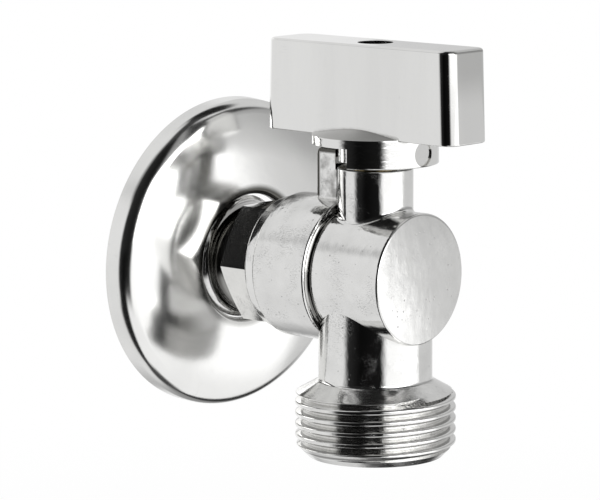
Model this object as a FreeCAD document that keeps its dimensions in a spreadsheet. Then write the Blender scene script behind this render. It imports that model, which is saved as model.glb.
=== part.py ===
import FreeCAD, Part
import math
import os
import re

import Sketcher

# Angle ball valve for a washing machine hose: wall inlet at the back, hose outlet below, lever on top.
# Frame: origin on the inlet axis where it leaves the wall, +X out of the wall, +Z up, millimetres.
# Pieces of the valve proper are drawn about the point where the stem axis crosses the inlet axis.

Vector = FreeCAD.Vector
doc = FreeCAD.newDocument("AngleValve")

# Driving dimensions
sizes = {
    # Forged body
    "stem_offset": 37.0,  # wall face to stem axis
    "collar_diameter": 24.0,
    "collar_back": 16.5,  # stem axis to the collar's rear face
    "collar_front": 5.3,  # stem axis to the step down to the barrel
    "collar_edge": 0.35,
    "step_round": 0.7,
    "barrel_diameter": 21.6,
    "barrel_front": 9.6,
    "barrel_edge": 0.45,
    "neck_diameter": 12.4,
    "neck_top": 17.6,
    "neck_edge": 0.3,
    "outlet_neck_diameter": 18.7,
    "shoulder_top": 17.4,
    "shoulder_bottom": 19.6,
    "shoulder_edge": 0.6,
    "outlet_thread_diameter": 26.44,
    "outlet_end": 30.0,
    "outlet_lead": 0.85,
    "outlet_bore": 13.0,
    "lug_reach": 10.9,
    "lug_inner": 6.7,
    "lug_thickness": 4.5,
    "lug_top": 20.3,
    "lug_round": 1.2,
    "lug_edge": 0.5,
    "web_spread": 56.0,  # half the angle that the web's root takes up round the neck
    "web_sink": 0.05,  # how far that root lies inside the neck
    "casting_fillet": 0.8,
    # Ball chamber
    "chamber_diameter": 17.0,
    "chamber_half": 7.9,  # stem axis to either end of the chamber
    "ball_diameter": 15.0,
    "ball_port": 9.0,
    "ball_play": 0.05,
    "seat_hole": 9.6,
    "seat_inner": 4.6,  # stem axis to the inner face of a seat
    "seat_play": 0.05,
    # Inlet nipple
    "spigot_diameter": 19.1,
    "spigot_play": 0.05,
    "washer_face_diameter": 22.4,
    "washer_face_width": 2.4,
    "hexagon_width": 19.0,
    "hexagon_length": 6.0,
    "hexagon_chamfer": 0.5,
    "relief_diameter": 18.8,
    "relief_length": 3.7,
    "relief_round": 1.0,
    "shank_diameter": 20.6,
    "inlet_thread_diameter": 20.96,
    "inlet_thread_front": 1.0,  # wall face to the front end of the wall thread
    "inlet_reach": 11.0,  # wall face to the nipple's rear end
    "inlet_lead": 1.0,
    "inlet_bore": 10.0,
    "spigot_ring_section": 1.3,
    "spigot_ring_inset": 2.0,  # collar's rear face to the ring's middle
    "ring_play": 0.03,
    # Wall rosette
    "rosette_diameter": 52.3,
    "rosette_sheet": 0.8,
    "rosette_rim": 3.6,
    "rosette_draft": 0.15,
    "rosette_corner": 1.4,
    "rosette_waist": 4.0,
    "rosette_waist_diameter": 30.0,
    "rosette_flare": 12.0,
    "rosette_depth": 6.0,
    "rosette_collar": 1.2,
    "rosette_bend": 0.9,
    "rosette_play": 0.1,
    "rosette_lean": 5.0,  # hangs loose, its top and one side leaning away from the wall
    # Stem and its seals
    "stem_diameter": 7.2,
    "stem_play": 0.05,
    "flange_diameter": 9.2,
    "flange_thickness": 1.1,
    "flange_play": 0.15,
    "washer_thickness": 0.5,
    "washer_shelf": 10.0,  # inlet axis to the shelf that the thrust washer bears on
    "tang_thickness": 3.0,
    "tang_play": 0.1,
    "tang_end": 5.7,
    "stem_ring_section": 0.9,
    "lower_ring_height": 12.0,
    "upper_ring_height": 14.8,
    "square_width": 5.0,
    "square_rise": 0.4,  # neck top to the start of the square
    "stem_top": 27.0,
    # Lever handle
    "handle_length": 37.7,
    "handle_draft": 0.47,
    "handle_width": 10.1,
    "handle_bottom": 22.8,
    "handle_top": 37.9,
    "handle_corner": 1.1,
    "handle_rim": 0.55,
    "handle_foot": 0.3,
    "hub_diameter": 20.7,
    "hub_bottom": 18.35,
    "hub_top": 23.05,
    "hub_edge": 0.25,
    "cone_peak": 25.35,
    "notch_ceiling": 21.6,
    "stop_gap": 0.3,
    "boss_diameter": 12.2,
    "boss_bottom": 18.7,
    "dimple_diameter": 4.2,
    "dimple_depth": 2.2,
    "dimple_height": 20.5,
    "square_play": 0.1,
    "socket_headroom": 0.2,
    "screw_well": 5.8,
    "screw_shelf": 29.4,
    # Handle screw
    "screw_diameter": 3.0,
    "screw_play": 0.2,
    "screw_length": 8.0,
    "screw_head_diameter": 5.3,
    "screw_head_height": 2.0,
    "screw_slot_width": 0.8,
    "screw_slot_depth": 0.9,
    "screw_thread_play": 0.03,
}
sheet = doc.addObject("Spreadsheet::Sheet", "Sizes")
for row, (name, value) in enumerate(sizes.items(), start=1):
    sheet.set(f"A{row}", name)
    sheet.set(f"B{row}", str(value))
    sheet.setAlias(f"B{row}", name)
doc.recompute()

# Lengths that follow from the driving dimensions
spigot_rear = "collar_back + washer_face_width"
hexagon_rear = f"({spigot_rear} + hexagon_length)"
shank_front = f"({hexagon_rear} + relief_length)"
thread_front = "(inlet_thread_front - stem_offset)"
rosette_hole = "((inlet_thread_diameter / 2 + rosette_play) / cos(rosette_lean))"
rosette_pivot = "(rosette_depth - rosette_collar)"
flange_top = "(washer_shelf - washer_thickness)"
stop_face = "(lug_thickness / 2 + stop_gap)"
socket_top = "(stem_top + socket_headroom)"


def bound(text):
    # An expression in bare size names, written for the document
    def named(found):
        return "Sizes." + found[0] if found[0] in sizes else found[0]

    return re.sub(r"[a-z][a-z_]+", named, text)


def amount(text):
    return float(sheet.evalExpression(text))


def new_body(label, at_stem=True):
    body = doc.addObject("PartDesign::Body", label)
    body.Label = label
    if at_stem:
        body.setExpression("Placement.Base.x", bound("stem_offset"))
    return body


def new_sketch(body, name, role, lift=None):
    sketch = body.newObject("Sketcher::SketchObject", name)
    plane = next(item for item in body.Origin.OriginFeatures if item.Role == role)
    sketch.AttachmentSupport = (plane, "")
    sketch.MapMode = "FlatFace"
    if lift:
        sketch.setExpression("AttachmentOffset.Base.z", bound(lift))
    return sketch


def hold(sketch, kind, geometry, point, text):
    # One driving dimension of a sketch point, bound to the sheet
    index = sketch.addConstraint(Sketcher.Constraint(kind, geometry, point, amount(text)))
    sketch.setExpression(f"Constraints[{index}]", bound(text))


def draw_profile(sketch, corners):
    # Closed outline of straight runs; each corner is (across, up) or (across, up, radius)
    spots = [Vector(amount(corner[0]), amount(corner[1]), 0) for corner in corners]
    count = len(corners)
    cuts = []
    for i, corner in enumerate(corners):
        if len(corner) == 2:
            cuts.append((spots[i], spots[i]))
            continue
        inward = (spots[i - 1] - spots[i]).normalize()
        outward = (spots[(i + 1) % count] - spots[i]).normalize()
        reach = amount(corner[2]) / math.tan(inward.getAngle(outward) / 2)
        cuts.append((spots[i] + inward * reach, spots[i] + outward * reach))
    lines = []
    for i in range(count):
        run = Part.LineSegment(cuts[i][1], cuts[(i + 1) % count][0])
        lines.append(sketch.addGeometry(run))
    for i, corner in enumerate(corners):
        before, after = lines[i - 1], lines[i]
        if len(corner) == 2:
            sketch.addConstraint(Sketcher.Constraint("Coincident", before, 2, after, 1))
            hold(sketch, "DistanceX", after, 1, corner[0])
            hold(sketch, "DistanceY", after, 1, corner[1])
            continue
        first, last = cuts[i]
        radius = amount(corner[2])
        inward = (first - spots[i]).normalize()
        outward = (last - spots[i]).normalize()
        middle = inward + outward
        centre = spots[i] + middle.normalize() * math.hypot(radius, (first - spots[i]).Length)
        left_turn = inward.cross(outward).z < 0
        begin, end = (first, last) if left_turn else (last, first)
        arc = sketch.addGeometry(
            Part.ArcOfCircle(
                Part.Circle(centre, Vector(0, 0, 1), radius),
                math.atan2(begin.y - centre.y, begin.x - centre.x),
                math.atan2(end.y - centre.y, end.x - centre.x),
            )
        )
        sketch.addConstraint(Sketcher.Constraint("Tangent", before, 2, arc, 1 if left_turn else 2))
        sketch.addConstraint(Sketcher.Constraint("Tangent", arc, 2 if left_turn else 1, after, 1))
        index = sketch.addConstraint(Sketcher.Constraint("Radius", arc, radius))
        sketch.setExpression(f"Constraints[{index}]", bound(corner[2]))
        virtual = sketch.addGeometry(Part.Point(spots[i]), True)
        sketch.addConstraint(Sketcher.Constraint("PointOnObject", virtual, 1, before))
        sketch.addConstraint(Sketcher.Constraint("PointOnObject", virtual, 1, after))
        hold(sketch, "DistanceX", virtual, 1, corner[0])
        hold(sketch, "DistanceY", virtual, 1, corner[1])


def draw_circle(sketch, diameter, across="0", up="0"):
    centre = Vector(amount(across), amount(up), 0)
    circle = sketch.addGeometry(Part.Circle(centre, Vector(0, 0, 1), amount(diameter) / 2))
    index = sketch.addConstraint(Sketcher.Constraint("Diameter", circle, amount(diameter)))
    sketch.setExpression(f"Constraints[{index}]", bound(diameter))
    hold(sketch, "DistanceX", circle, 3, across)
    hold(sketch, "DistanceY", circle, 3, up)


def draw_hexagon(sketch, width):
    # Flats level above and below, corners to the sides
    half = f"{width} / 2"
    corner = f"{width} / sqrt(3)"
    side = f"{width} / sqrt(12)"
    draw_profile(
        sketch,
        [
            (corner, "0"),
            (side, half),
            (f"-{side}", half),
            (f"-{corner}", "0"),
            (f"-{side}", f"-{half}"),
            (side, f"-{half}"),
        ],
    )


def draw_oblong(sketch, across, deep):
    draw_profile(
        sketch,
        [
            (f"-{across} / 2", f"-{deep} / 2"),
            (f"{across} / 2", f"-{deep} / 2"),
            (f"{across} / 2", f"{deep} / 2"),
            (f"-{across} / 2", f"{deep} / 2"),
        ],
    )


def turn(body, name, corners, axis, kind="Revolution"):
    # A lathe-turned form (Revolution) or a bored one (Groove); axis is the sketch's H_Axis or V_Axis
    sketch = new_sketch(body, name + "_outline", "XZ_Plane")
    draw_profile(sketch, corners)
    feature = body.newObject("PartDesign::" + kind, name)
    feature.Profile = sketch
    feature.ReferenceAxis = (sketch, [axis])
    feature.Angle = 360
    doc.recompute()
    return feature


def raise_or_cut(body, name, sketch, kind, length, both_ways=False, backwards=False):
    feature = body.newObject("PartDesign::" + kind, name)
    feature.Profile = sketch
    feature.SideType = "Symmetric" if both_ways else "One side"
    feature.Reversed = backwards
    feature.setExpression("Length", bound(length))
    before = body.Shape.Volume if kind == "Pocket" else 0
    doc.recompute()
    if kind == "Pocket" and feature.Shape.Volume > before - 1e-6:
        raise RuntimeError(f"{name} cut nothing")
    return feature


def near(one, other, slack=0.01):
    return abs(one - other) < slack


def along(edge, count=7):
    first, last = edge.ParameterRange
    return [edge.valueAt(first + (last - first) * i / (count - 1)) for i in range(count)]


def round_edges(body, name, base, radius, wanted):
    # Rounds those edges of the base feature whose every point passes the test
    names = []
    for i, edge in enumerate(base.Shape.Edges, start=1):
        if all(wanted(point) for point in along(edge)):
            names.append(f"Edge{i}")
    if not names:
        raise RuntimeError(f"{name} found no edge")
    feature = body.newObject("PartDesign::Fillet", name)
    feature.Base = (base, names)
    feature.setExpression("Radius", bound(radius))
    doc.recompute()
    return feature


def solid(kind, name, lengths, base=(0, 0, 0), turned=None):
    # A primitive bound to the sheet; turned lays a cylinder or torus along X
    item = doc.addObject("Part::" + kind, name)
    if turned:
        item.Placement.Rotation = FreeCAD.Rotation(Vector(0, 1, 0), turned)
    for part, text in lengths.items():
        item.setExpression(part, bound(text))
    for axis, text in zip("xyz", base):
        if text:
            item.setExpression("Placement.Base." + axis, bound(text))
    return item


def cut_away(label, base, tools):
    # The base primitive less each tool, placed on the stem axis
    for i, tool in enumerate(tools, start=1):
        cut = doc.addObject("Part::Cut", f"{label}_cut_{i}")
        cut.Base = base
        cut.Tool = tool
        base = cut
    base.Label = label
    base.setExpression("Placement.Base.x", bound("stem_offset"))
    return base


# Forged body: the barrel in line with the inlet, closed by its flat front
valve_body = new_body("valve_body")
turn(
    valve_body,
    "barrel",
    [
        ("-collar_back / 2", "0"),
        ("-collar_back / 2", "barrel_diameter / 2"),
        ("barrel_front", "barrel_diameter / 2", "barrel_edge"),
        ("barrel_front", "0"),
    ],
    "H_Axis",
)

# Stem neck, blended into the barrel at its foot
neck_sketch = new_sketch(valve_body, "stem_neck_outline", "XY_Plane")
draw_circle(neck_sketch, "neck_diameter")
neck = raise_or_cut(valve_body, "stem_neck", neck_sketch, "Pad", "neck_top")
neck_radius = amount("neck_diameter / 2")


def on_neck(point):
    return near(math.hypot(point.x, point.y), neck_radius)


def on_neck_foot(point):
    return on_neck(point) and 0 < point.z < (amount("barrel_diameter / 2") + amount("neck_top")) / 2


def on_neck_rim(point):
    return on_neck(point) and near(point.z, amount("neck_top"))


neck = round_edges(valve_body, "neck_blend", neck, "casting_fillet", on_neck_foot)
round_edges(valve_body, "neck_rim", neck, "neck_edge", on_neck_rim)

# Collar that takes the nipple, stepping down to the barrel in a small hollow
turn(
    valve_body,
    "collar",
    [
        ("-collar_back", "0"),
        ("-collar_back", "collar_diameter / 2", "collar_edge"),
        ("-collar_front", "collar_diameter / 2", "collar_edge"),
        ("-collar_front", "barrel_diameter / 2", "step_round"),
        ("step_round - collar_front + collar_edge", "barrel_diameter / 2"),
        ("step_round - collar_front + collar_edge", "0"),
    ],
    "H_Axis",
)

# Outlet neck, shoulder cone and threaded hose spigot at the thread's crest diameter
turn(
    valve_body,
    "outlet",
    [
        ("0", "0"),
        ("outlet_neck_diameter / 2", "0"),
        ("outlet_neck_diameter / 2", "-shoulder_top", "casting_fillet"),
        ("outlet_thread_diameter / 2", "-shoulder_bottom", "shoulder_edge"),
        ("outlet_thread_diameter / 2", "outlet_lead - outlet_end"),
        ("outlet_thread_diameter / 2 - outlet_lead", "-outlet_end"),
        ("0", "-outlet_end"),
    ],
    "V_Axis",
)

# Stop lug behind the neck: a web flaring into the neck and an upright plate to stop the handle's notch
web_root = "(neck_diameter / 2 - web_sink)"
web_sketch = new_sketch(valve_body, "lug_web_outline", "XY_Plane")
draw_profile(
    web_sketch,
    [
        ("-lug_reach + lug_edge", "-lug_thickness / 2"),
        ("-neck_diameter / 2", "-lug_thickness / 2", "casting_fillet"),
        (f"-{web_root} * cos(web_spread)", f"-{web_root} * sin(web_spread)"),
        (f"-{web_root} * cos(web_spread)", f"{web_root} * sin(web_spread)"),
        ("-neck_diameter / 2", "lug_thickness / 2", "casting_fillet"),
        ("-lug_reach + lug_edge", "lug_thickness / 2"),
    ],
)
raise_or_cut(valve_body, "lug_web", web_sketch, "Pad", "neck_top - casting_fillet")
plate_sketch = new_sketch(valve_body, "lug_plate_outline", "XZ_Plane")
draw_profile(
    plate_sketch,
    [
        ("-lug_reach", "0"),
        ("-lug_inner", "0"),
        ("-lug_inner", "lug_top"),
        ("-lug_reach", "lug_top", "lug_round"),
    ],
)
plate = raise_or_cut(valve_body, "lug_plate", plate_sketch, "Pad", "lug_thickness", both_ways=True)


def on_lug_corner(point):
    on_side = near(abs(point.y), amount("lug_thickness / 2"))
    at_back = point.x < -amount("lug_reach - lug_round") + 0.01
    return on_side and at_back and point.z > amount("collar_front")


round_edges(valve_body, "lug_corners", plate, "lug_edge", on_lug_corner)

# Waterway: nipple bore, ball chamber, outlet bore, stem bore and the shelf for the thrust washer
turn(
    valve_body,
    "inlet_bore",
    [
        ("-collar_back", "0"),
        ("-collar_back", "spigot_diameter / 2 + spigot_play"),
        ("-chamber_half", "spigot_diameter / 2 + spigot_play"),
        ("-chamber_half", "chamber_diameter / 2"),
        ("chamber_half", "chamber_diameter / 2"),
        ("chamber_half", "0"),
    ],
    "H_Axis",
    "Groove",
)
turn(
    valve_body,
    "upright_bores",
    [
        ("0", "-outlet_end"),
        ("outlet_bore / 2", "-outlet_end"),
        ("outlet_bore / 2", "0"),
        ("flange_diameter / 2 + flange_play", "0"),
        ("flange_diameter / 2 + flange_play", "washer_shelf"),
        ("stem_diameter / 2 + stem_play", "washer_shelf"),
        ("stem_diameter / 2 + stem_play", "neck_top"),
        ("0", "neck_top"),
    ],
    "V_Axis",
    "Groove",
)

# Inlet nipple: spigot in the collar, washer face, relief neck, shank for the rosette and wall thread
# The thread is drawn at its crest diameter
inlet_nipple = new_body("inlet_nipple")
ring_middle = "(collar_back - spigot_ring_inset)"
groove_half = "(spigot_ring_section / 2 + ring_play)"
groove_floor = "(spigot_diameter / 2 - spigot_ring_section - ring_play)"
turn(
    inlet_nipple,
    "turned_form",
    [
        ("-chamber_half", "inlet_bore / 2"),
        ("-chamber_half", "spigot_diameter / 2"),
        (f"{groove_half} - {ring_middle}", "spigot_diameter / 2"),
        (f"{groove_half} - {ring_middle}", groove_floor),
        (f"-{groove_half} - {ring_middle}", groove_floor),
        (f"-{groove_half} - {ring_middle}", "spigot_diameter / 2"),
        ("-collar_back", "spigot_diameter / 2"),
        ("-collar_back", "washer_face_diameter / 2", "collar_edge"),
        (f"-({spigot_rear})", "washer_face_diameter / 2", "collar_edge"),
        (f"-({spigot_rear})", "relief_diameter / 2"),
        (f"-{shank_front}", "relief_diameter / 2", "relief_round"),
        (f"-{shank_front} - (shank_diameter - relief_diameter) / 2", "shank_diameter / 2"),
        (thread_front, "shank_diameter / 2"),
        (f"{thread_front} - (inlet_thread_diameter - shank_diameter) / 2", "inlet_thread_diameter / 2"),
        ("inlet_lead - inlet_reach - stem_offset", "inlet_thread_diameter / 2"),
        ("-inlet_reach - stem_offset", "inlet_thread_diameter / 2 - inlet_lead"),
        ("-inlet_reach - stem_offset", "inlet_bore / 2"),
    ],
    "H_Axis",
)
hexagon_sketch = new_sketch(inlet_nipple, "hexagon_outline", "YZ_Plane", f"-({spigot_rear})")
draw_hexagon(hexagon_sketch, "hexagon_width")
draw_circle(hexagon_sketch, "inlet_bore")
raise_or_cut(inlet_nipple, "hexagon", hexagon_sketch, "Pad", "hexagon_length", backwards=True)
past_corner = "hexagon_width * (2 / sqrt(3) - 1 / 2)"
turn(
    inlet_nipple,
    "hexagon_corners",
    [
        (f"2 * hexagon_chamfer - {hexagon_rear}", past_corner),
        (f"-{hexagon_rear}", past_corner),
        (f"-{hexagon_rear}", "hexagon_width / 2"),
    ],
    "H_Axis",
    "Groove",
)


# Seal ring between nipple and collar
nipple_o_ring = solid(
    "Torus",
    "nipple_o_ring",
    {
        "Radius1": "spigot_diameter / 2 - spigot_ring_section / 2",
        "Radius2": "spigot_ring_section / 2",
    },
    base=(f"stem_offset - {ring_middle}", 0, 0),
    turned=90,
)

# Wall rosette: one pressed sheet with a rim, a gently rising face and a drawn collar that hangs on the thread
wall_rosette = new_body("wall_rosette", at_stem=False)
rosette_edge = "rosette_diameter / 2"
lip_edge = f"{rosette_hole} + rosette_sheet"
turn(
    wall_rosette,
    "pressed_sheet",
    [
        ("0", rosette_edge),
        ("rosette_rim", f"{rosette_edge} - rosette_draft", "rosette_corner"),
        ("rosette_waist", "rosette_waist_diameter / 2", "rosette_flare"),
        ("rosette_depth - rosette_collar + rosette_sheet / 2", lip_edge, "rosette_bend"),
        ("rosette_depth", lip_edge),
        ("rosette_depth", rosette_hole),
        ("rosette_depth - rosette_collar", rosette_hole),
        ("rosette_waist - rosette_sheet", "rosette_waist_diameter / 2", "rosette_flare + rosette_sheet"),
        (
            "rosette_rim - rosette_sheet",
            f"{rosette_edge} - rosette_draft - rosette_sheet",
            "rosette_corner - rosette_sheet",
        ),
        ("0", f"{rosette_edge} - rosette_sheet"),
    ],
    "H_Axis",
)

# It leans about its collar, its lowest rim against the wall
wall_rosette.Placement.Rotation = FreeCAD.Rotation(Vector(0, 1, -1), amount("rosette_lean"))
wall_rosette.setExpression("Placement.Rotation.Angle", bound("rosette_lean"))
wall_rosette.setExpression("Placement.Base.x", bound(f"{rosette_edge} * sin(rosette_lean)"))
rosette_shift = bound(f"{rosette_pivot} * sin(rosette_lean) / sqrt(2)")
wall_rosette.setExpression("Placement.Base.y", rosette_shift)
wall_rosette.setExpression("Placement.Base.z", rosette_shift)

# Ball with an L-shaped waterway from the inlet side to the outlet below, slotted on top for the stem's tang
slot_width = "(tang_thickness + 2 * tang_play)"
port_form = {"Radius": "ball_port / 2", "Height": "ball_diameter"}
ball = cut_away(
    "ball",
    solid("Sphere", "ball_blank", {"Radius": "ball_diameter / 2"}),
    [
        solid("Cylinder", "ball_down_port", port_form, turned=180),
        solid("Cylinder", "ball_side_port", port_form, turned=-90),
        solid("Sphere", "ball_elbow", {"Radius": "ball_port / 2"}),
        solid(
            "Box",
            "ball_slot",
            {"Length": slot_width, "Width": "ball_diameter", "Height": "ball_diameter"},
            base=(f"-{slot_width} / 2", "-ball_diameter / 2", "tang_end - 2 * tang_play"),
        ),
    ],
)


def seat_ring(label, start):
    # Plastic ring bored for the waterway and cupped to the ball
    blank = solid(
        "Cylinder",
        label + "_blank",
        {"Radius": "chamber_diameter / 2 - seat_play", "Height": "chamber_half - seat_inner"},
        base=(start, 0, 0),
        turned=90,
    )
    hole = solid(
        "Cylinder",
        label + "_hole",
        {"Radius": "seat_hole / 2", "Height": "2 * chamber_half"},
        base=("-chamber_half", 0, 0),
        turned=90,
    )
    cup = solid("Sphere", label + "_cup", {"Radius": "ball_diameter / 2 + ball_play"})
    return cut_away(label, blank, [hole, cup])


rear_seat = seat_ring("rear_seat", "-chamber_half")
front_seat = seat_ring("front_seat", "seat_inner")

# Stem: flange that keeps it in, two seal grooves, tang in the ball's slot, square for the handle, tapped end
stem = new_body("stem")
flange_foot = f"({flange_top} - flange_thickness)"
stem_edge = "stem_diameter / 2"
stem_groove_half = "(stem_ring_section / 2 + ring_play)"
stem_groove_floor = f"{stem_edge} - stem_ring_section - ring_play"
square_start = "(neck_top + square_rise)"
stem_corners = [
    ("0", flange_foot),
    ("flange_diameter / 2", flange_foot),
    ("flange_diameter / 2", flange_top),
    (stem_edge, flange_top),
]
for height in ("lower_ring_height", "upper_ring_height"):
    foot = f"{height} - {stem_groove_half}"
    head = f"{height} + {stem_groove_half}"
    stem_corners += [(stem_edge, foot), (stem_groove_floor, foot)]
    stem_corners += [(stem_groove_floor, head), (stem_edge, head)]
stem_corners += [(stem_edge, square_start), ("0", square_start)]
turn(stem, "shank", stem_corners, "V_Axis")


tang_sketch = new_sketch(stem, "tang_outline", "XY_Plane", "tang_end")
draw_oblong(tang_sketch, "tang_thickness", "stem_diameter")
raise_or_cut(stem, "tang", tang_sketch, "Pad", f"{flange_foot} - tang_end")
square_sketch = new_sketch(stem, "square_outline", "XY_Plane", square_start)
draw_oblong(square_sketch, "square_width", "square_width")
raise_or_cut(stem, "square", square_sketch, "Pad", f"stem_top - {square_start}")
turn(
    stem,
    "tapped_hole",
    [
        ("0", "screw_shelf - screw_length - screw_diameter / 2"),
        ("screw_diameter / 2 + screw_thread_play", "screw_shelf - screw_length"),
        ("screw_diameter / 2 + screw_thread_play", "stem_top"),
        ("0", "stem_top"),
    ],
    "V_Axis",
    "Groove",
)

# Thrust washer between the stem flange and the body's shelf
thrust_washer = new_body("thrust_washer")
turn(
    thrust_washer,
    "washer_ring",
    [
        ("stem_diameter / 2 + stem_play", flange_top),
        ("flange_diameter / 2", flange_top),
        ("flange_diameter / 2", "washer_shelf"),
        ("stem_diameter / 2 + stem_play", "washer_shelf"),
    ],
    "V_Axis",
)


def stem_ring(label, height):
    return solid(
        "Torus",
        label,
        {"Radius1": "stem_diameter / 2 - stem_ring_section / 2", "Radius2": "stem_ring_section / 2"},
        base=("stem_offset", 0, height),
    )


lower_stem_o_ring = stem_ring("lower_stem_o_ring", "lower_ring_height")
upper_stem_o_ring = stem_ring("upper_stem_o_ring", "upper_ring_height")

# Handle: a drafted T-bar with rounded corners
handle = new_body("handle")
bar_sketch = new_sketch(handle, "bar_outline", "XZ_Plane")
draw_profile(
    bar_sketch,
    [
        ("-handle_length / 2 - handle_draft", "handle_bottom"),
        ("handle_length / 2 + handle_draft", "handle_bottom"),
        ("handle_length / 2", "handle_top"),
        ("-handle_length / 2", "handle_top"),
    ],
)
bar = raise_or_cut(handle, "bar", bar_sketch, "Pad", "handle_width", both_ways=True)


def on_bar_corner(point):
    on_side = near(abs(point.y), amount("handle_width / 2"))
    return on_side and abs(point.x) > amount("handle_length / 2") - 0.01


def on_bar_rim(point):
    return near(point.z, amount("handle_top"))


def on_bar_foot(point):
    return near(point.z, amount("handle_bottom"))


bar = round_edges(handle, "bar_corners", bar, "handle_corner", on_bar_corner)
bar = round_edges(handle, "bar_rim", bar, "handle_rim", on_bar_rim)
round_edges(handle, "bar_foot", bar, "handle_foot", on_bar_foot)

# Hub under the bar: a shallow cone on a disc, notched for the stop lug to allow a quarter turn
turn(
    handle,
    "hub",
    [
        ("0", "hub_bottom"),
        ("hub_diameter / 2", "hub_bottom", "hub_edge"),
        ("hub_diameter / 2", "hub_top"),
        ("0", "cone_peak"),
    ],
    "V_Axis",
)
notch_sketch = new_sketch(handle, "notch_outline", "XY_Plane", "hub_bottom")
draw_profile(
    notch_sketch,
    [
        ("-hub_diameter", "-hub_diameter"),
        (stop_face, "-hub_diameter"),
        (stop_face, stop_face),
        ("-hub_diameter", stop_face),
    ],
)
raise_or_cut(handle, "notch", notch_sketch, "Pocket", "notch_ceiling - hub_bottom", backwards=True)
boss_sketch = new_sketch(handle, "boss_outline", "XY_Plane", "boss_bottom")
draw_circle(boss_sketch, "boss_diameter")
raise_or_cut(handle, "boss", boss_sketch, "Pad", "notch_ceiling - boss_bottom")

# Dimple in the front of the hub, screw well from above, square socket from below
dimple_sketch = new_sketch(handle, "dimple_outline", "YZ_Plane", "hub_diameter / 2")
draw_circle(dimple_sketch, "dimple_diameter", up="dimple_height")
raise_or_cut(handle, "dimple", dimple_sketch, "Pocket", "dimple_depth")
turn(
    handle,
    "screw_hole",
    [
        ("0", socket_top),
        ("screw_diameter / 2 + screw_play", socket_top),
        ("screw_diameter / 2 + screw_play", "screw_shelf"),
        ("screw_well / 2", "screw_shelf"),
        ("screw_well / 2", "handle_top"),
        ("0", "handle_top"),
    ],
    "V_Axis",
    "Groove",
)
socket_sketch = new_sketch(handle, "socket_outline", "XY_Plane", "hub_bottom")
draw_oblong(socket_sketch, "(square_width + 2 * square_play)", "(square_width + 2 * square_play)")
raise_or_cut(handle, "socket", socket_sketch, "Pocket", f"{socket_top} - hub_bottom", backwards=True)

# Slotted screw that holds the handle down on the stem
handle_screw = new_body("handle_screw")
turn(
    handle_screw,
    "screw_form",
    [
        ("0", "screw_shelf - screw_length"),
        ("screw_diameter / 2", "screw_shelf - screw_length"),
        ("screw_diameter / 2", "screw_shelf"),
        ("screw_head_diameter / 2", "screw_shelf"),
        ("screw_head_diameter / 2", "screw_shelf + screw_head_height", "screw_head_height / 4"),
        ("0", "screw_shelf + screw_head_height"),
    ],
    "V_Axis",
)
slot_sketch = new_sketch(handle_screw, "slot_outline", "XY_Plane", "screw_shelf + screw_head_height")
draw_oblong(slot_sketch, "screw_slot_width", "(2 * screw_head_diameter)")
raise_or_cut(handle_screw, "slot", slot_sketch, "Pocket", "screw_slot_depth")

# Every object must have rebuilt soundly before anything is written
doc.recompute()
pieces = [
    valve_body,
    inlet_nipple,
    nipple_o_ring,
    wall_rosette,
    ball,
    rear_seat,
    front_seat,
    stem,
    thrust_washer,
    lower_stem_o_ring,
    upper_stem_o_ring,
    handle,
    handle_screw,
]
for item in doc.Objects:
    if "Invalid" in item.State or "Error" in item.State:
        raise RuntimeError(f"{item.Label} did not rebuild: {item.State}")
for piece in pieces:
    if piece.Shape.isNull() or not piece.Shape.isValid() or len(piece.Shape.Solids) != 1:
        raise RuntimeError(f"{piece.Label} is not one sound solid")

os.makedirs("parts", exist_ok=True)
for piece in pieces:
    piece.Shape.exportStep(f"parts/{piece.Label}.step")
    box = piece.Shape.BoundBox
    print(f"{piece.Label}: {piece.Shape.Volume:.1f} mm3, {box}")
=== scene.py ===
# Angle valve for a washing machine hose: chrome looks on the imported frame, metres, +X out of the wall
import math

import bpy
from mathutils import Matrix, Vector


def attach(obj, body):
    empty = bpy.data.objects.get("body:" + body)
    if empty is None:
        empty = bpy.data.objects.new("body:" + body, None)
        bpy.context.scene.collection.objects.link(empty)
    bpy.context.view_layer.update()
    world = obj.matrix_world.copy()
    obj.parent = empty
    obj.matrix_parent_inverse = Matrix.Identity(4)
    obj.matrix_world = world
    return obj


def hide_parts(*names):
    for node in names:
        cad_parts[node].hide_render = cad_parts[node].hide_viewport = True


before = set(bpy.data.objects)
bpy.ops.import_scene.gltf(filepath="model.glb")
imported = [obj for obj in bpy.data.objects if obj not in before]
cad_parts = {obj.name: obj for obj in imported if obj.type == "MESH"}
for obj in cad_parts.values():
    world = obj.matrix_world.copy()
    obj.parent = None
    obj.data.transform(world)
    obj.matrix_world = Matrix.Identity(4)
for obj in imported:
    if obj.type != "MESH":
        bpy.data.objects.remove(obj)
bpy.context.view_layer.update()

print("frame loaded:", len(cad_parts), "nodes")
mm = 0.001  # the sizes of the pieces are written in millimetres
stemAxis = Vector((37.0 * mm, 0, 0))  # where the stem axis crosses the inlet axis


def addObject(name, data):
    obj = bpy.data.objects.new(name, data)
    bpy.context.scene.collection.objects.link(obj)
    return obj


# Camera, at the photograph's angle

view = {
    "azimuth": 40.62,  # degrees round from the side of the valve
    "elevation": 9.26,
    "distance": 573.98 * mm,
    "lens": 210.74,
    "shift": (-0.1257, 0.0393),
    "nearest": 10 * mm,
}


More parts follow.
